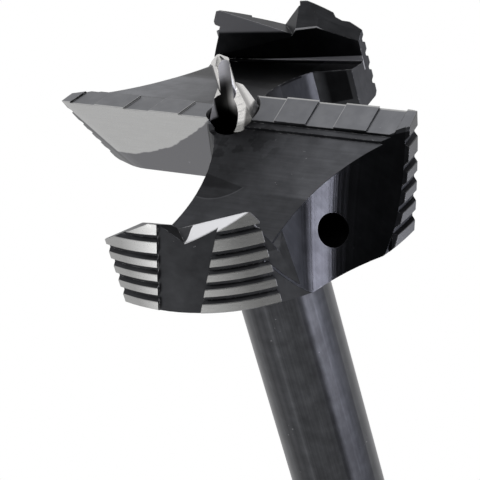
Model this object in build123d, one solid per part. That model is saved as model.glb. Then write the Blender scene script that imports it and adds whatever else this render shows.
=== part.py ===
import os
from math import atan2, cos, degrees, radians, sin, tan

from build123d import *

# Driving dimensions, in millimetres and degrees. The bit is built upright, point up, with the
# cutting plane of the two lips at z = 0 and the axis on z, and is laid on its side at the end.
head_r = 20.0
head_h = 11.0
shank_r = 5.0
length_below_lips = 83.5
crown_z = 0.14
base_chamfer = 0.4
shank_chamfer = 0.6

# Ribbed lands: ring grooves cut in the rim, and how far the plain sides lie behind the lands.
groove_z = [-1.75, -3.98, -5.72, -7.45, -9.2]
groove_w = 0.93
groove_floor_w = 0.34
groove_d = 0.4
side_relief = 0.45

# Lips, lands and the chip-breaker steps across them.
lip_y = 2.37
land_w = 3.32
land_drop = 0.63
heel_drop = 0.42
ledge_w = 0.7
ledge_drop = 0.15
rear_drop = 0.3
step_d = 0.15
wall_lean = 0.05
low_strips = [(0.0, 5.2), (8.85, 12.0), (15.7, 18.8)]
rake_deg = 21.1
corner_at = (19.86, 2.37, 0.0)
corner_low = (19.6, -2.5, -10.0)
corner_in = (16.4, -1.87, -11.0)
corner_r = 7.0
rear_slope_deg = 15.3

# Dished floor between the wing and the rim, and the upright inner wall of the rim.
chord_deg = -78.5
chord_d = 17.25
crease_y = -8.4
dish_slope_deg = 16.2
valley_r = 0.6
rim_start_y = -15.3
rim_start_z = -2.0
rim_start_lean = 0.1

# Edges of the lands round the rim: angle at the cutting plane and its change for each mm down.
wing_rear = (-1.1, 1.57)
tooth1_lead = (-53.2, 0.0)
tooth1_rear = (-63.5, 1.22)
tooth2_lead = (-81.5, 0.79)
rim_end_x = 4.1
rim_from_deg = -45.0
rim_mid_deg = -80.0
rim_to_deg = -112.0
side_mid_deg = -30.0
recess_mid_deg = -77.0

# Ground facets of the two teeth of the rim: a point of each plane and the way it faces.
top1_at = (11.0, -16.4)
top1_dir = (-0.300, -0.355, 1.0)
inner1_at = (11.1, -16.4)
inner1_dir = (-0.72, 4.72, 1.06)
peak2_at = (2.956, -19.78)
wall2_dir = (4.05, 3.99, 4.44)
inner2_at = (2.96, -19.78)
inner2_dir = (-0.0438, 0.7598, 1.0)
top2_at = (2.09, -19.89)
top2_z = 0.04
top2_dir = (-0.472, 0.2, 1.0)
end2_at = (-0.13, -17.88)
end2_z = -1.75
end2_dir = (-2.124, 2.767, 3.632)

# Chip mouth: the round wall seen from above, and the cone of metal left round the bore.
mouth_start = (1.93, 1.46)
mouth_mid = (-0.5, 9.5)
mouth_turn = (0.5, 13.98)
mouth_end_y = 15.9
hub_top_r = 2.85
hub_foot_r = 4.2

# Side scoop, a slanted round cut, and the radial hole of the set screw in it.
scoop_r = 22.45
scoop_at = (33.58, -21.31, -3.0)
scoop_dir = (0.32, -0.301, -1.0)
blend_at = (12.45, -15.07, -5.0)
blend_deg = 15.0
hole_deg = -30.9
hole_z = -7.05
hole_r = 1.6

# Centre point: shank, flaring wings with two flutes, and a narrow neck with a chisel tip.
point_r = 2.6
point_fit = 0.02
point_depth = 18.0
neck_r = 0.93
neck_z = 2.8
tip_z = 5.95
tip_r = 0.25
shoulder_z = 0.0
flute_r = 1.63
flute_web = 0.6
flute_deg = -90.5
flute_pitch = 31.0
flute_low = -5.0
wing_edge = (0.594, 0.458, 2.7)
wing_dir = (2.819, 0.606, 1.342)
heel_at = (1.245, 0.109, 1.49)
heel_dir = (2.395, -2.979, 2.357)
bore_mouth_r = 2.9
bore_mouth_z = -1.2

# Set screw.
screw_fit = 0.05
screw_gap = 0.05
screw_len = 5.0
screw_key = 2.0
screw_key_depth = 1.6

# Reach of the cutters: they run past the metal by these lengths.
over = 1.0
inboard = 0.3 * head_r
wide = 1.5 * head_r
tall = 3.0 * head_r

# Resting pose: the side that turns down, and half the gap between the two corners it rests on.
corner_a_deg = 126.8
corner_b_deg = 162.2


def prism(plane, points, far, near=0.0):
    """Straight prism of a polygon, from near to far along the normal of its plane."""
    face = make_face(Polyline(*points, close=True))
    return extrude(plane.offset(near) * face, far - near)


def pair(solid):
    """The same cut on both halves of the head."""
    return [solid, Rot(0, 0, 180) * solid]


def land_window(mid_deg, a, b, top=1.5 * over, foot=-head_h - 2 * over):
    """Prism through the rim between two slanting land edges, each (angle, change per mm)."""
    def across(edge, z):
        return head_r * sin(radians(edge[0] + edge[1] * z - mid_deg))
    plane = Plane((0, 0, 0), x_dir=(-sin(radians(mid_deg)), cos(radians(mid_deg)), 0),
                  z_dir=(cos(radians(mid_deg)), sin(radians(mid_deg)), 0))
    points = [(across(a, top), top), (across(a, foot), foot), (across(b, foot), foot), (across(b, top), top)]
    return prism(plane, points, head_r + over, 0.4 * head_r)


def above(origin, normal, size=2 * tall):
    """Block that fills one side of a plane."""
    plane = Plane(origin, z_dir=normal)
    return plane * Box(size, size, size, align=(Align.CENTER, Align.CENTER, Align.MIN))


def fillet_between(first, second):
    """Two cutters joined, with the inner edge where their plane faces meet rounded."""
    joined = first + second
    span = Vector(*corner_in) - Vector(*corner_at)
    inner = joined.edges().filter_by(lambda e: abs((e % 0.5).dot(span.normalized())) > 0.999)
    inner = inner.sort_by_distance(corner_in)[0]
    return fillet(inner, corner_r)


# Blank of head and shank, turned in one.
low = -head_h
end = -length_below_lips
profile = [(0, crown_z), (head_r, crown_z), (head_r, low + base_chamfer), (head_r - base_chamfer, low),
           (shank_r, low), (shank_r, end + shank_chamfer), (shank_r - shank_chamfer, end), (0, end)]
body = revolve(Plane.XZ * make_face(Polyline(*profile, close=True)), Axis.Z)

# Ring grooves round the rim.
for z in groove_z:
    half = groove_w / 2
    floor = groove_floor_w / 2
    cut = [(head_r + over, z + half), (head_r, z + half), (head_r - groove_d, z + floor),
           (head_r - groove_d, z - floor), (head_r, z - half), (head_r + over, z - half)]
    body -= revolve(Plane.XZ * make_face(Polyline(*cut, close=True)), Axis.Z)

# Plain sides behind the lands, set back from the rim.
core = Cylinder(head_r - side_relief, tall)
side = land_window(side_mid_deg, wing_rear, tooth1_lead) - core
recess = land_window(recess_mid_deg, tooth1_rear, tooth2_lead) - core
for cut in pair(side) + pair(recess):
    body -= cut

# Land, heel, ledge and rear face of one wing, as a profile that runs along the lip.
heel_y = lip_y - land_w
ledge_y = heel_y - ledge_w
ledge_z = -land_drop - heel_drop - ledge_drop
far_y = -1.2 * head_r
far_z = ledge_z - rear_drop - (ledge_y - far_y) * tan(radians(rear_slope_deg))
rise = over * land_drop / land_w
land = [(lip_y + over, rise), (heel_y, -land_drop), (heel_y - wall_lean, -land_drop - heel_drop),
        (ledge_y, ledge_z), (ledge_y - wall_lean, ledge_z - rear_drop), (far_y, far_z),
        (far_y, 3 * over), (lip_y + over, 3 * over)]
chord_dir = (cos(radians(chord_deg)), sin(radians(chord_deg)), 0)
chord_far = tuple(chord_d * c for c in chord_dir)
rim_zone = above(chord_far, chord_dir)
behind = Box(wide, wide, tall, align=(Align.CENTER, Align.MAX, Align.CENTER))
wing_cut = prism(Plane.YZ, land, wide)
wing_cut += prism(Plane.YZ, land, 0.1 * over, -inboard) & (Pos(0, -lip_y, 0) * behind)
wing_cut -= rim_zone
for cut in pair(wing_cut):
    body -= cut

# Chip-breaker strips, milled a little lower than the lip.
for x0, x1 in low_strips:
    strip = [(lip_y + over, rise - step_d), (heel_y - wall_lean / 2, -land_drop - step_d),
             (heel_y - wall_lean / 2, 2 * over), (lip_y + over, 2 * over)]
    for cut in pair(prism(Plane.YZ, strip, x1, x0)):
        body -= cut

# Dished floor behind the crease, with a rounded valley at the foot of the upright wall. Past the
# start of the rim the floor runs out to the side of the head.
fall = tan(radians(dish_slope_deg))
crease_z = far_z + (crease_y - far_y) * tan(radians(rear_slope_deg))
near_y = -0.15 * head_r
floor = [(near_y, crease_z + fall * (near_y - crease_y)), (-wide, crease_z - fall * (wide + crease_y)),
         (-wide, inboard), (near_y, inboard)]
dish = prism(Plane.YZ, floor, wide, -inboard)
dish_in = dish - rim_zone
valley = dish_in.edges().filter_by(lambda e: abs(e.center().dot(Vector(*chord_dir)) - chord_d) < 1e-3)
valley = valley.sort_by(Axis.Z)[0]
dish_in = fillet(valley, valley_r)
past = above((0, rim_start_y, rim_start_z), (0, 1, rim_start_lean))
ahead = Box(wide, tall, tall, align=(Align.MIN, Align.CENTER, Align.CENTER))
dish_past = dish & past & (Pos(0.25 * head_r, 0, 0) * ahead)
dish_cut = dish_in + dish_past
for cut in pair(dish_cut):
    body -= cut

# Tooth 1: outer relief facet, steep inner facet; tooth 2: leading wall and sloping top.
face1 = above((*top1_at, crown_z), top1_dir)
inner1 = above((*inner1_at, crown_z), inner1_dir)
wall2 = above((*peak2_at, 0), wall2_dir)
back2 = above((*top2_at, top2_z), top2_dir)
end2 = above((*end2_at, end2_z), end2_dir)
inner2 = above((*inner2_at, 0), inner2_dir)
cap2 = above((0, 0, top2_z), (0, 0, 1))
rim_block = land_window(rim_mid_deg, (rim_from_deg, 0.0), (rim_to_deg, 0.0)) & rim_zone
tooth1 = rim_block & wall2
tooth2 = rim_block - wall2
for facet, tooth in ((face1, tooth1), (inner1, tooth1), (back2, tooth2), (inner2, tooth2),
                     (cap2, tooth2), (end2, tooth2)):
    for cut in pair(facet & tooth):
        body -= cut

# Chip mouth: round wall, rake plane of the wing, end face of the rim.
outline = Polyline(mouth_turn, (rim_end_x, mouth_end_y), (rim_end_x, wide), (wide, wide), (wide, -inboard),
                   (mouth_start[0], -inboard), mouth_start)
wall = ThreePointArc(mouth_start, mouth_mid, mouth_turn)
plan = make_face([outline, wall])
mouth = extrude(Pos(0, 0, low) * plan, head_h + 3 * over)
lean = tan(radians(rake_deg))
foot_z = low - 2 * over
rake = prism(Plane.YZ, [(lip_y + 3 * over * lean, 3 * over), (lip_y + foot_z * lean, foot_z), (wide, foot_z),
                        (wide, 3 * over)], wide, -0.5 * head_r)
corner_side = Vector(*corner_low) - Vector(*corner_at)
corner_dir = corner_side.cross(Vector(*corner_in) - Vector(*corner_at))
corner = above(corner_at, corner_dir if corner_dir.Y > 0 else -corner_dir)
rake = fillet_between(rake, corner)
mouth = mouth & rake
on_base = (Align.CENTER, Align.CENTER, Align.MIN)
hub = Pos(0, 0, low) * Cone(hub_foot_r, hub_top_r, head_h, align=on_base)
mouth -= hub
for cut in pair(mouth):
    body -= cut

# Slanted side scoop, with the set-screw hole through it to the bore.
blend_x = cos(radians(blend_deg))
blend_y = sin(radians(blend_deg))
blend_z = -(blend_x * scoop_dir[0] + blend_y * scoop_dir[1]) / scoop_dir[2]
blend = above(blend_at, (blend_x, blend_y, blend_z))
scoop = Plane(scoop_at, z_dir=scoop_dir) * Cylinder(scoop_r, tall) & blend & past
for cut in pair(scoop):
    body -= cut
hole_dir = (cos(radians(hole_deg)), sin(radians(hole_deg)), 0)
hole_plane = Plane((0, 0, hole_z), z_dir=hole_dir)
body -= hole_plane * Cylinder(hole_r, wide, align=on_base)

# Bore of the centre point, opened a little at the mouth.
bore_r = point_r + point_fit
body -= Pos(0, 0, -point_depth) * Cylinder(bore_r, point_depth + 2 * over, align=on_base)
body -= Pos(0, 0, bore_mouth_z) * Cone(bore_r, 2 * bore_mouth_r - bore_r, -2 * bore_mouth_z, align=on_base)

# Centre point, turned first, then the faces of its two wings and the twisted flutes.
outline = [(0, -point_depth), (point_r, -point_depth), (point_r, neck_z), (neck_r, neck_z),
           (neck_r, tip_z - (neck_r - tip_r)), (tip_r, tip_z), (0, tip_z)]
point = revolve(Plane.XZ * make_face(Polyline(*outline, close=True)), Axis.Z)
neck = Cylinder(neck_r, 2 * tip_z, align=on_base)
for at, normal in ((wing_edge, wing_dir), (heel_at, heel_dir)):
    for cut in pair(above(at, normal) - neck):
        point -= cut
flute_at = flute_r + flute_web
path = Pos(0, 0, flute_low) * Helix(flute_pitch, tip_z + over - flute_low, flute_at)
flute = sweep(Plane(path @ 0, z_dir=path % 0) * Circle(flute_r), path, is_frenet=True)
flute = Rot(0, 0, flute_deg + 360 / flute_pitch * flute_low) * flute
for cut in pair(flute):
    point -= cut
point = point.solids().sort_by(SortBy.VOLUME)[-1]

# Set screw, deep in the radial hole against the centre point.
screw_r = hole_r - screw_fit
screw_at = bore_r + screw_gap
screw = hole_plane.offset(screw_at) * Cylinder(screw_r, screw_len, align=on_base)
key_face = RegularPolygon(screw_key / 2, 6, major_radius=False)
key_plane = hole_plane.offset(screw_at + screw_len - screw_key_depth)
screw -= extrude(key_plane * key_face, screw_key_depth + over)

# Lay the bit down: it rests on two corners of a side scoop and on the rim of the shank's end.
rest_deg = (corner_a_deg + corner_b_deg) / 2
half_gap = radians((corner_b_deg - corner_a_deg) / 2)
reach = length_below_lips - shank_chamfer - (head_h - base_chamfer)
tilt = atan2(head_r * cos(half_gap) - shank_r, reach)
turned = Rot(0, degrees(tilt) - 90, 0) * Rot(0, 0, 180 - rest_deg)
box = (turned * Compound([body, point])).bounding_box()
place = Pos(-(box.min.X + box.max.X) / 2, -(box.min.Y + box.max.Y) / 2, -box.min.Z) * turned

os.makedirs("parts", exist_ok=True)
for name, solid in (("bit_body", body), ("centre_point", point), ("set_screw", screw)):
    laid = place * solid
    laid.label = name
    export_step(laid, "parts/" + name + ".step")
    print(name, laid.volume, laid.bounding_box(), len(laid.solids()))
print("tilt", degrees(tilt), "rest", rest_deg, "shift", place.position)
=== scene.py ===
import bpy
from math import cos, pi, radians, sin, tan
from mathutils import Euler, Matrix, Vector

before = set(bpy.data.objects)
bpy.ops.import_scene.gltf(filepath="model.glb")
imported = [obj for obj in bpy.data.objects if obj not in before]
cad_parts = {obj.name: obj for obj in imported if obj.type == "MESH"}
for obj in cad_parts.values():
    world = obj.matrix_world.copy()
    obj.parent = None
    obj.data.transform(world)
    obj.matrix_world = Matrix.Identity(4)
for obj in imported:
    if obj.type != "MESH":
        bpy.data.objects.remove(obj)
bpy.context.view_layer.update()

# Bit body: the head with its two wings, ribbed rim and saw teeth, and the round shank below it, machined
# from one bar of steel and blackened. Afterwards the ribs, the upper rake faces and the tops of the teeth
# are ground bright, and the lands along the lips are ground lightly.
head_r = 20.0
shank_r = 5.0
shank_top_z = -11.25
crown_z = 0.14

# The bit lies at rest, but its finish is laid out upright and in millimetres, with the point up, the axis
# on z and the lips at z = 0. This turn and shift take that drawing to where the bit lies.
rest_deg = 144.5
tilt_deg = 10.999644
shift_mm = Vector((-38.4586, 0.0, 21.0823))
lean_over = Euler((0, radians(tilt_deg - 90), 0)).to_matrix()
turn = lean_over @ Euler((0, 0, radians(180 - rest_deg))).to_matrix()


def feed(node, sockets):
    """Link or set sockets of a node, each given by its name or number."""
    for slot, item in sockets.items():
        if isinstance(item, Value):
            node.id_data.links.new(item.socket, node.inputs[slot])
        else:
            node.inputs[slot].default_value = item


class Value:
    """A shader socket that takes part in sums and products. Each operator adds a node to its tree."""

    def __init__(self, socket):
        self.socket = socket

    def node(self, kind, settings, sockets, out=0):
        """Any node of the same tree: its settings are set first, then the links or values of its sockets."""
        made = self.socket.id_data.nodes.new("ShaderNode" + kind)
        for name, setting in settings.items():
            setattr(made, name, setting)
        feed(made, sockets)
        return Value(made.outputs[out])

    def math(self, operation, *others):
        """Math node on this value and up to two others."""
        return self.node("Math", {"operation": operation}, dict(enumerate((self,) + others)))

    def __add__(self, other):
        return self.math("ADD", other)

    __radd__ = __add__

    def __sub__(self, other):
        return self.math("SUBTRACT", other)

    def __rsub__(self, other):
        return self.node("Math", {"operation": "SUBTRACT"}, {0: other, 1: self})

    def __mul__(self, other):
        """Product. A colour is scaled as a vector, which keeps its hue."""
        if self.socket.type == "VALUE":
            return self.math("MULTIPLY", other)
        return self.node("VectorMath", {"operation": "SCALE"}, {0: self, "Scale": other})

    __rmul__ = __mul__

    def __neg__(self):
        return self * -1.0

    def __abs__(self):
        return self.math("ABSOLUTE")

    def ramp(self, low, high, start=0.0, end=1.0):
        """Straight change from start at low to end at high, held outside them."""
        span = {"From Min": low, "From Max": high, "To Min": start, "To Max": end}
        return self.node("MapRange", {}, {"Value": self, **span})

    def spread(self, low, high):
        """Noise, which hardly leaves its middle, stretched to run from low to high."""
        return self.ramp(0.3, 0.7, low, high)

    def above(self, edge, soft=0.05):
        """1 above an edge and 0 below it, with a step of twice the softness."""
        return self.ramp(edge - soft, edge + soft)

    def below(self, edge, soft=0.05):
        """1 below an edge and 0 above it."""
        return self.ramp(edge - soft, edge + soft, 1, 0)

    def near(self, reach, soft=0.05):
        """1 within a reach of zero, on both sides, and 0 past it."""
        return abs(self).below(reach, soft)

    def between(self, low, high, soft=0.05):
        """1 from low to high and 0 outside them."""
        return (self - (low + high) / 2).near((high - low) / 2, soft)

    def mix(self, off, on):
        """off where this value is 0 and on where it is 1: two numbers or two colours, values among them."""
        tinted = [isinstance(item, tuple) or isinstance(item, Value) and item.socket.type != "VALUE"
                  for item in (off, on)]
        if any(tinted):
            return self.node("Mix", {"data_type": "RGBA"}, {0: self, 6: off, 7: on}, 2)
        return self.node("Mix", {"data_type": "FLOAT"}, {0: self, 2: off, 3: on})


def steel(name):
    """New material: itself, its shader, the place on the upright bit in millimetres, and its x, y and z."""
    made = bpy.data.materials.new(name)
    made.use_nodes = True
    surface = made.node_tree.nodes["Principled BSDF"]
    upright = turn.transposed()
    as_laid = Value(surface.outputs[0]).node("TexCoord", {}, {}, "Object")
    spot = as_laid.node("Mapping", {}, {"Vector": as_laid, "Scale": (1000, 1000, 1000),
                                        "Rotation": upright.to_euler(), "Location": -(upright @ shift_mm)})
    return made, surface, spot, [spot.node("SeparateXYZ", {}, {0: spot}, axis) for axis in "XYZ"]


def grain(spot, scale, detail, stretch=(1, 1, 1), turned=(0, 0, 0)):
    """Noise from 0 to 1 on a place, stretched and turned about the axes."""
    drawn = spot.node("Mapping", {}, {"Vector": spot, "Scale": stretch, "Rotation": turned})
    return spot.node("TexNoise", {}, {"Vector": drawn, "Scale": scale, "Detail": detail})


finish, shader, spot, (x, y, z) = steel("dark_steel")

# The two halves of the head are alike, half a turn apart. A feature is laid out once and folded onto both
# halves by the sign of a direction that points at it: along the wing, at the rim or at the side scoop.
chord_deg = -78.5
chord_way = (cos(radians(chord_deg)), sin(radians(chord_deg)))
toward_scoop = (0.6, -0.8)
wing_side = x.math("SIGN")
wing_x = abs(x)
wing_y = y * wing_side
chord_out = x * chord_way[0] + y * chord_way[1]
rim_side = chord_out.math("SIGN")
rim_x = x * rim_side
rim_y = y * rim_side
scoop_side = (x * toward_scoop[0] + y * toward_scoop[1]).math("SIGN")
scoop_x = x * scoop_side
scoop_y = y * scoop_side
radius = (x * x + y * y).math("SQRT")
wobble = grain(spot, 0.9, 4.0) - 0.5

# Where the head ends and the shank begins, and the ribbed lands of the rim, which alone reach its full
# radius.
head = z.above(shank_top_z)
shank = z.below(shank_top_z)
rib = radius.above(head_r - 0.05, 0.02) * head

# Land along each lip, and the rake face under it. Grinding of the rake face stops at a wavy line that
# is level near the rim and climbs towards the hub.
lip_y = 2.37
land_w = 3.32
land_low_z = -0.83
rake_deg = 21.1
ground_low_z = -8.35
climb_from_x = 16.5
climb = 0.081
climb_power = 1.7
ground_wave = 0.7
land = (wing_y - lip_y + land_w / 2).near(land_w / 2 + 0.01, 0.03) * z.above(land_low_z, 0.03)
rake_face = (wing_y - lip_y - z * tan(radians(rake_deg))).near(0.16, 0.04)
ground_edge = (climb_from_x - wing_x).math("MAXIMUM", 0.0).math("POWER", climb_power) * climb + ground_low_z
rake = rake_face * (z - ground_edge + wobble * ground_wave).above(0.0, 0.08)


def off_plane(point, at, way):
    """How far a point is from a plane: the sum, over the axes, of its distance from at times the way."""
    return sum((part - start) * step for part, start, step in zip(point, at, way))


# First tooth of each rim: its bright relief facet on top and the inner facet behind it. Each is given by
# a point of its plane and the way it faces.
chord_d = 17.25
top_at = (11.0, -16.4, crown_z)
top_way = (-0.3, -0.355, 1.0)
top_from_x = 4.925
top_wave = 0.5
inner_at = (11.1, -16.4, crown_z)
inner_way = (-0.72, 4.72, 1.06)
inner_low_z = -2.225
rim = abs(chord_out).above(chord_d + 0.03, 0.02)
tooth_top = off_plane((rim_x, rim_y, z), top_at, top_way).near(0.075, 0.025)
tooth_top = tooth_top * rim * (rim_x + wobble * top_wave).above(top_from_x, 0.025)
tooth_inner = off_plane((rim_x, rim_y, z), inner_at, inner_way).near(0.325, 0.075)
tooth_inner = tooth_inner * rim * z.above(inner_low_z, 0.125)

# Side scoop: a slanted round cut, found by its distance from the axis of the cutter. A small flat lies at
# its foot. The shading of the cut is turned a little, so that its streaks run upright, and the flat is
# shaded as the plain side next to it.
scoop_r = 22.45
scoop_at = (33.58, -21.31, -3.0)
cutter_way = Vector((0.32, -0.301, -1.0)).normalized()
cut_x_way = (Vector((-1, 0, 0)) + cutter_way * cutter_way.x).normalized()
cut_y_way = cutter_way.cross(cut_x_way)
streak_lean = -0.3473
streak_middle_z = -7.0
flat_way = (0.635, -0.772, 0.0)
flat_x = (11.25, 14.55)
flat_low_y = -12.35
plain_r = head_r - 0.375
floor_up = 0.96
floor_in = 0.28
floor_off = 0.87


def over_floor(side_y):
    """Height over the dished floor by the rim, square to it, on the half that y is folded to."""
    return z * floor_up - side_y * floor_in + floor_off


cut_x = off_plane((scoop_x, scoop_y, z), scoop_at, cut_x_way)
cut_y = off_plane((scoop_x, scoop_y, z), scoop_at, cut_y_way)
inside = head * radius.below(plain_r, 0.025) * scoop_x.above(flat_x[0])
scoop = ((cut_x * cut_x + cut_y * cut_y).math("SQRT") - scoop_r).near(0.075, 0.025) * inside
flat = over_floor(scoop_y).below(-0.015, 0.015) * inside * (1 - scoop)
flat = flat * scoop_x.between(*flat_x) * scoop_y.below(flat_low_y)
across = (cut_y + (z - streak_middle_z) * streak_lean) * (1 / scoop_r)
depth = (1 - across * across).math("SQRT")
scoop_way = []
for axis, fold in enumerate((scoop_side, scoop_side, 1.0)):
    bored = -(depth * cut_x_way[axis] + across * cut_y_way[axis])
    scoop_way.append(flat.mix(bored, flat_way[axis]) * fold)
lying_way = [sum(scoop_way[axis] * turn[row][axis] for axis in range(3)) * 0.5 + 0.5 for row in range(3)]
lying_way = spot.node("CombineXYZ", {}, dict(enumerate(lying_way)))
scoop_normal = spot.node("NormalMap", {"space": "OBJECT"}, {"Color": lying_way})

# Blackened steel: cloudy, with faint drawn marks, and darker blots round the hub.
black_low = (0.038, 0.039, 0.042, 1)
black_high = (0.050, 0.051, 0.055, 1)
blot_tone = 0.62
stain_low = 0.82
stain_high = 1.18
stains = grain(spot, 0.55, 5.0).spread(stain_low, stain_high)
marks = grain(spot, 0.8, 2.0, (0.25, 4.0, 1.0)).ramp(0.35, 0.65, 0.93, 1.07)
blot = grain(spot, 0.5, 4.0).ramp(0.50, 0.55) * radius.ramp(shank_r, 9.5, 1, 0) * head
dark = grain(spot, 0.25, 3.0).mix(black_low, black_high)
dark = dark * (stains * marks * blot.mix(1.0, blot_tone))

# Dished floor behind the wing, with painted light and shade. Between the wing and the crease a painted
# reflection makes it lighter away from the hub, and the round mark of the cutter is a painted highlight
# along its edge with painted shade inside it. On the other half it is painted dark past the crease.
mark_x = 1.62
mark_y = -5.81
mark_r = 4.51
crease_y = -8.95
dish_in = 0.26
dish_off = 1.03
dish_r = 18.95
patch_y = -7.29
patch_slope = 0.229
scallop_shade_tone = 0.62
mark_highlight_tone = 1.5
dish = (z * floor_up - wing_y * dish_in + dish_off).near(0.30) * (1 - scoop) * radius.below(dish_r)
# Painted reflection: lighter away from the hub between the wing and the crease.
dish_light_and_shade = (wing_y + wobble * 0.4).above(crease_y, 0.15).mix(1.25, wing_x.ramp(3.0, 13.0, 0.75, 2.4))
from_mark = (wing_x - mark_x) * (wing_x - mark_x) + (wing_y - mark_y) * (wing_y - mark_y)
from_mark = from_mark.math("SQRT") - mark_r
# Painted shade inside the round cutter mark and a painted highlight along its edge.
scallop_shade = from_mark.below(-0.05) * (wing_y + wing_x * patch_slope - patch_y).below(-0.05)
mark_highlight = from_mark.near(0.07, 0.03) * wing_y.below(-8.5, 0.1)
dish_light_and_shade = dish_light_and_shade * scallop_shade.mix(1.0, scallop_shade_tone) * mark_highlight.mix(1.0, mark_highlight_tone)
# Painted shade past the crease on the other half only.
dish_light_and_shade = dish_light_and_shade * wing_side.above(0.0, 0.5).mix(wing_y.ramp(-10.0, -8.5, 0.2, 1.55), 1.0)

# Wall of the chip mouth under the rim, with one band of painted reflection down it and painted shade beside
# it.
mouth_x = (-3.6, 0.9)
mouth_y = (-16.5, -9.2)
mouth_low_z = -9.15
mouth = over_floor(rim_y).below(-0.1) * rim_x.between(*mouth_x) * rim_y.between(*mouth_y)
mouth = mouth * z.above(mouth_low_z) * radius.below(chord_d)
band_shade = 0.2
band_highlight = 1.8
band_after_highlight = 0.6
# Painted reflection down the mouth wall, with painted shade before and after it.
band_painted_light = rim_y.ramp(-14.6, -14.1, band_shade, band_highlight)
band_painted_light = band_painted_light.math("MINIMUM", rim_y.ramp(-13.5, -12.9, band_highlight, band_after_highlight))
# The painted light and shade of the dished floor and of the mouth wall scale the black.
dark = dark * (dish * (dish_light_and_shade - 1) + mouth * (band_painted_light - 1) + 1)


def streaks(value, scale, detail):
    """Noise from 0 to 1 that changes along one value only."""
    return value.node("TexNoise", {"noise_dimensions": "1D"}, {"W": value, "Scale": scale, "Detail": detail})


# Shank with drawn streaks along it, darker towards its end, and the plain strip between the first tooth and
# the scoop, painted a little lighter as painted light.
strip_x = (10.9, 14.3)
strip_top_z = -4.95
strip_painted_light = 0.5
drawn_lines = streaks(y.math("ARCTAN2", x) * shank_r, 1.3, 4.0).spread(0.75, 1.3)
shank_tone = drawn_lines * z.ramp(-50.0, -25.0, 0.95, 1.27)
# The plain strip is painted a little lighter, as painted light.
strip = rim_x.between(*strip_x, 0.1) * z.below(strip_top_z) * (1 - scoop)
dark = dark * (shank * (shank_tone - 1) + strip * strip_painted_light + 1)

# Bright ground steel. The ribs are toned as the light lies on them in the photograph: lighter on the
# second tooth towards the recess between the teeth, darker on the first tooth and on the wing end.
ground_low = (0.47, 0.47, 0.46, 1)
ground_high = (0.55, 0.55, 0.54, 1)
recess_x = 3.5
wing_end_x = 18.25
wing_end_tone = 0.62
second_tooth_tone = rim_x.ramp(-2.0, 2.2, 0.82, 1.85)
first_tooth_tone = rim_x.ramp(5.0, 10.0, 0.92, 0.42) * wing_x.above(wing_end_x, 0.25).mix(1.0, wing_end_tone)
rib_tone = rim_x.above(recess_x, 0.1).mix(second_tooth_tone, first_tooth_tone)
scratches = grain(spot, 1.1, 4.0, (0.35, 3.0, 3.0), (0, 0, 0.25))
bright = scratches.mix(ground_low, ground_high) * rib.mix(1.0, rib_tone)

# Lightly ground lands, painted lighter towards the rim on one wing as painted light, with the thin lines of
# their chip-breaker steps: a painted highlight where a step catches the light, painted shadow at the last
# one.
land_low = (0.170, 0.174, 0.186, 1)
land_high = (0.220, 0.224, 0.236, 1)
highlight_steps_x = (5.2, 12.0)
shadow_step_x = 18.75
step_highlight_colour = (0.42, 0.42, 0.42, 1)
step_shadow_colour = (0.06, 0.06, 0.06, 1)
rake_low_colour = (0.16, 0.16, 0.168, 1)
# Land colour: real stains, and painted light that grows towards the rim on one wing.
semi = stains.ramp(stain_low, stain_high).mix(land_low, land_high) * x.ramp(2.0, 18.0, 0.86, 1.16)
# Painted highlights on two steps and painted shadow on the last.
step_highlight = (wing_x - highlight_steps_x[0]).near(0.07, 0.02)
step_highlight = step_highlight.math("MAXIMUM", (wing_x - highlight_steps_x[1]).near(0.06, 0.02))
step_shadow = (wing_x - shadow_step_x).near(0.07, 0.02)
colour = rake_face.mix(dark, rake_low_colour)
colour = land.mix(colour, semi)
colour = (land * step_highlight).mix(colour, step_highlight_colour)
colour = (land * step_shadow).mix(colour, step_shadow_colour)

# Inner facet of the tooth and a line at the foot of the far rim's wall, both painted paler as painted light,
# the line a painted highlight on one half only, and a few flecks.
facet_light_colour = (0.40, 0.40, 0.41, 1)
fleck_colour = (0.45, 0.45, 0.47, 1)
fleck_strength = 0.4
foot_line_d = 17.2
foot_line_z = (-7.15, -5.45)
# Painted highlight on the fillet at the foot of the far rim's wall, on one half only.
foot_highlight = (abs(chord_out) - foot_line_d).near(0.09, 0.03) * rim_side.below(0.0, 0.5)
foot_highlight = foot_highlight * z.between(*foot_line_z)
painted_pale = tooth_inner.math("MAXIMUM", foot_highlight)
fleck = grain(spot, 2.1, 2.0, (1.0, 1.7, 1.0)).ramp(0.72, 0.76) * grain(spot, 0.22, 1.0).ramp(0.55, 0.6)
# Painted light on the inner facet and on the foot line.
colour = painted_pale.mix(colour, facet_light_colour)
colour = (fleck * fleck_strength).mix(colour, fleck_colour)


def rounded_edge(spot, radius_m):
    """Normal that turns smoothly over an edge, as if the edge were rounded to a radius."""
    return spot.node("Bevel", {"samples": 6}, {"Radius": radius_m})


def rubbed_edge(spot, radius_m):
    """1 on the edges of a piece, where the rounded normal leaves the true one, and 0 on its faces."""
    true = spot.node("NewGeometry", {}, {}, "True Normal")
    agree = spot.node("VectorMath", {"operation": "DOT_PRODUCT"},
                      {0: rounded_edge(spot, radius_m), 1: true}, "Value")
    return agree.below(0.91, 0.05)


# Ground faces over the black, the relief facet of the near tooth painted the brightest as a painted
# highlight on one half only, and edges rubbed bare in places, less round the scoop and not at its foot.
relief_highlight_colour = (0.93, 0.93, 0.95, 1)
bare_colour = (0.4, 0.4, 0.4, 1)
rub_m = 0.0001
unrubbed_x = (11.4, 14.0)
unrubbed_y = -12.5
ground = rib.math("MAXIMUM", rake)
colour = ground.mix(colour, bright)
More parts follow.
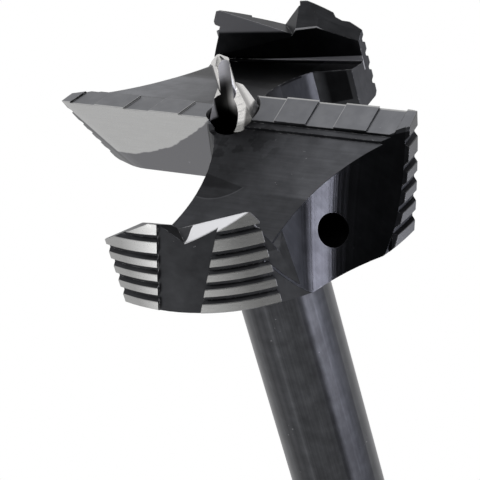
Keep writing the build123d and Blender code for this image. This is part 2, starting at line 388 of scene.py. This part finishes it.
# Painted highlight on the near tooth's relief facet.
colour = (tooth_top * rim_side.above(0.0, 0.5)).mix(colour, relief_highlight_colour)
rubbed = rubbed_edge(spot, rub_m) * grain(spot, 1.8, 3.0).above(0.55) * head * scoop.mix(0.8, 0.15)
rubbed = rubbed * (1 - scoop_x.between(*unrubbed_x, 0.1) * scoop_y.below(unrubbed_y, 0.1))
colour = rubbed.mix(colour, bare_colour)

# Gloss: the scoop is the smoothest, with streaks along it, and every edge is rounded a little.
shank_rough = 0.30
edge_m = 0.00008
relief_m = 0.00001
fine = grain(spot, 9.0, 3.0)
scoop_lines = streaks(across * scoop_r, 3.0, 3.0)
rough = ground.mix(fine.spread(0.32, 0.38), fine.spread(0.26, 0.36))
rough = scoop.mix(rough, scoop_lines.spread(0.09, 0.15))
rough = head.mix(shank_rough, rough)
normal = spot.node("Mix", {"data_type": "VECTOR"}, {0: scoop.math("MAXIMUM", flat),
                                                    4: rounded_edge(spot, edge_m), 5: scoop_normal}, 1)
height = fine * 0.25 + scratches * ground * 0.8 + scoop_lines * scoop * 0.3
normal = spot.node("Bump", {}, {"Height": height, "Distance": relief_m, "Strength": 1.0, "Normal": normal})
feed(shader, {"Base Color": colour, "Metallic": painted_pale.mix(1.0, 0.3), "Roughness": rough, "Normal": normal})


def fit_finish(piece, finish):
    """Give a piece of the model its one finish."""
    piece.data.materials.clear()
    piece.data.materials.append(finish)


fit_finish(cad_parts["bit_body"], finish)

# Centre point: a brad point of bright ground steel with two flaring wings and two twisted flutes, a
# separate piece pushed into the bore of the body. The flutes are painted dark near the foot, as painted
# shade.
point_low = (0.80, 0.78, 0.75, 1)
point_high = (0.98, 0.97, 0.95, 1)
flute_deg = -90.5
flute_pitch = 31.0
flute_r = 1.655
flute_at = 2.23
flute_squeeze = 0.831
heel_at = (1.245, 0.109, 1.49)
heel_way = (0.533, -0.663, 0.525)
wing_at = (0.594, 0.458, 2.7)
wing_way = (0.886, 0.19, 0.422)
relief_m = 0.000003
finish, shader, spot, (x, y, z) = steel("bright_steel")
ground_lines = grain(spot, 1.6, 4.0, (0.6, 0.6, 6.0))

# Place across a flute, which turns with height: u outwards along its middle, w sideways. Each flute is
# painted darker on one side and in its foot as painted shade, and painted light where it catches the light.
spin = (z * (360 / flute_pitch) + flute_deg) * (pi / 180)
cosine = spin.math("COSINE")
sine = spin.math("SINE")
outwards = x * cosine + y * sine
u = abs(outwards)
w = (y * cosine - x * sine) * outwards.math("SIGN")
flute = ((u - flute_at) * (u - flute_at) + w * w * flute_squeeze).math("SQRT").below(flute_r, 0.01)
flute_edge = w.below(-1.3, 0.1)
# Painted light and shade in the flutes, darkest at the foot.
flute_light_shade = z.ramp(2.6, 4.4).mix(w.ramp(-0.1, 0.5, 0.12, 1.05), w.ramp(0.0, 0.6, 1.0, 0.6))
flute_light_shade = flute_light_shade * z.ramp(-0.6, 1.6, 0.02, 1.0)
flute_light_shade = flute_light_shade.math("MAXIMUM", flute_edge * z.above(-1.0, 0.2))

# The two flat faces of each wing of the point, folded onto both wings, with painted light and shade: the
# heel darker outwards and low down, the wing face lighter outwards.
point_side = (x * wing_way[0] + y * wing_way[1]).math("SIGN")
wing_place = (x * point_side, y * point_side, z)
heel = off_plane(wing_place, heel_at, heel_way).near(0.045, 0.015)
wing = off_plane(wing_place, wing_at, wing_way).near(0.045, 0.015)
# Painted shade on the heel and painted light across the wing face.
heel_painted_shade = wing_place[0].ramp(1.80, 1.98, 1.0, 0.22) * z.ramp(-1.1, -0.7, 0.35, 1.0)
face_light_shade = heel.mix(wing.mix(0.85, u.ramp(0.15, 0.75, 0.5, 1.0)), heel_painted_shade)
colour = ground_lines.mix(point_low, point_high) * flute.mix(face_light_shade, flute_light_shade)
dull = flute * z.above(3.5, 0.5).math("MAXIMUM", flute_edge)
rough = flute.mix(ground_lines.spread(0.16, 0.26), 0.42)
normal = spot.node("Bump", {}, {"Height": ground_lines, "Distance": relief_m, "Strength": 1.0})
feed(shader, {"Base Color": colour, "Metallic": dull.mix(1.0, 0.15), "Roughness": rough, "Normal": normal})
fit_finish(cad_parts["centre_point"], finish)

# Set screw: a blackened grub screw that holds the centre point, deep in its radial hole, where hardly
# any light reaches it.
screw_low = (0.02, 0.02, 0.022, 1)
screw_high = (0.04, 0.04, 0.044, 1)
relief_m = 0.000006
finish, shader, spot = steel("screw_steel")[:3]
pits = grain(spot, 6.0, 3.0)
rough = pits.spread(0.35, 0.5)
normal = spot.node("Bump", {}, {"Height": pits, "Distance": relief_m, "Strength": 1.0})
feed(shader, {"Base Color": pits.mix(screw_low, screw_high), "Metallic": 1.0, "Roughness": rough,
              "Normal": normal})
fit_finish(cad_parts["set_screw"], finish)

# Floor: a large pale sheet that the bit lies on. It is white where the camera sees it and pale grey in
# the reflections of the steel.
floor_size_m = 6.0
floor_colour = (0.85, 0.85, 0.85, 1)
floor_in_steel = (0.80, 0.80, 0.81, 1)
white = (1, 1, 1, 1)
bpy.ops.mesh.primitive_plane_add(size=floor_size_m, location=(0, 0, 0))
floor = bpy.context.object
floor.name = "floor"
paper = bpy.data.materials.new("floor_paper")
paper.use_nodes = True
matt = paper.node_tree.nodes["Principled BSDF"]
feed(matt, {"Base Color": floor_colour, "Roughness": 0.9})
lit = Value(matt.outputs[0])
to_camera = lit.node("LightPath", {}, {}, "Is Camera Ray")
in_gloss = lit.node("LightPath", {}, {}, "Is Glossy Ray")
glow = lit.node("Emission", {}, {"Color": to_camera.mix(floor_in_steel, white)})
seen = lit.node("MixShader", {}, {0: to_camera.math("MAXIMUM", in_gloss), 1: lit, 2: glow})
feed(paper.node_tree.nodes["Material Output"], {"Surface": seen})
fit_finish(floor, paper)

# Background: white to the camera, and dim and cool in the reflections.
air_colour = (0.8, 0.82, 0.86, 1)
air_strength = 0.08
world = bpy.data.worlds.new("studio")
bpy.context.scene.world = world
world.use_nodes = True
air_node = world.node_tree.nodes["Background"]
feed(air_node, {"Color": air_colour, "Strength": air_strength})
air = Value(air_node.outputs[0])
to_camera = air.node("LightPath", {}, {}, "Is Camera Ray")
backdrop = air.node("Background", {}, {"Color": white})
seen = air.node("MixShader", {}, {0: to_camera, 1: air, 2: backdrop})
feed(world.node_tree.nodes["World Output"], {"Surface": seen})

# Camera: at the photograph's viewing angle, given by its direction from the upright bit, its roll and
# how far it stands from the point that it looks at, in millimetres.
view_az = radians(-50.786)
view_el = radians(33.693)
view_roll = radians(-16.3)
view_mm = 237.593
looks_at = Vector((-2.371, -1.934, -15.806))


def laid(point):
    """A point of the upright bit, in millimetres, as a place in the scene in metres."""
    return (turn @ Vector(point) + shift_mm) * 0.001


back = Vector((cos(view_az) * cos(view_el), sin(view_az) * cos(view_el), sin(view_el)))
level = (-back).cross(Vector((0, 0, 1))).normalized()
rise = level.cross(-back)
right_way = level * cos(view_roll) + rise * sin(view_roll)
up_way = rise * cos(view_roll) - level * sin(view_roll)
axes = Matrix((turn @ right_way, turn @ up_way, turn @ back)).transposed()
camera_data = bpy.data.cameras.new("camera")
camera_data.sensor_width = 36.0
camera_data.lens = 171.16
camera_data.clip_start = 0.01
camera = bpy.data.objects.new("camera", camera_data)
bpy.context.collection.objects.link(camera)
camera.matrix_world = Matrix.Translation(laid(looks_at + back * view_mm)) @ axes.to_4x4()
bpy.context.scene.camera = camera
bpy.context.scene.view_settings.view_transform = "Standard"

# Lamps: plain soft boxes round the head. Each stretches between two directions, given as degrees to the
# right and degrees up in the camera's own axes, where 0, 0 is back to the camera.
lamp_middle = (0, 0, -5)
cool = (0.98, 0.98, 1.12)


def toward(azimuth, elevation):
    """Direction in the camera's own axes."""
    a, e = radians(azimuth), radians(elevation)
    return Vector((sin(a) * cos(e), sin(e), cos(a) * cos(e)))


def soft_box(name, start, end, height_deg, radiance, distance_m=0.8, colour=(1, 1, 1)):
    """Area lamp that faces the head. Its energy is its radiance times pi times its area."""
    start, end = toward(*start), toward(*end)
    middle = axes @ ((start + end) / 2).normalized()
    data = bpy.data.lights.new(name, "AREA")
    data.shape = "RECTANGLE"
    data.size = (end - start).length * distance_m
    data.size_y = 2 * distance_m * sin(radians(height_deg / 2))
    data.energy = radiance * pi * data.size * data.size_y
    data.color = colour
    lamp = bpy.data.objects.new(name, data)
    bpy.context.collection.objects.link(lamp)
    along = axes @ (end - start)
    along = (along - middle * along.dot(middle)).normalized()
    facing = Matrix((along, middle.cross(along), middle)).transposed().to_4x4()
    lamp.matrix_world = Matrix.Translation(laid(lamp_middle) + middle * distance_m) @ facing


soft_box("strip", (40.8, -6.0), (51.0, -3.0), 34, 5.8, 0.7, cool)
soft_box("right_panel", (50.0, -2.0), (122.0, -12.0), 46, 1.15, 0.8, (0.96, 0.98, 1.12))
soft_box("right_strip", (73.0, -46.0), (89.0, -22.0), 15, 4.1, 0.7, (0.98, 0.98, 1.08))
soft_box("low_panel", (-85.0, -62.0), (80.0, -50.0), 42, 0.95)
soft_box("left_strip", (-100.0, -54.0), (-85.0, -66.0), 16, 1.5, 0.7)
soft_box("point_light", (-8.0, 2.0), (6.0, 2.0), 14, 1.0, 0.75)
soft_box("front_panel", (-60.0, 28.0), (18.0, 28.0), 28, 0.7)
soft_box("top_panel", (10.0, 72.0), (60.0, 72.0), 22, 0.8)
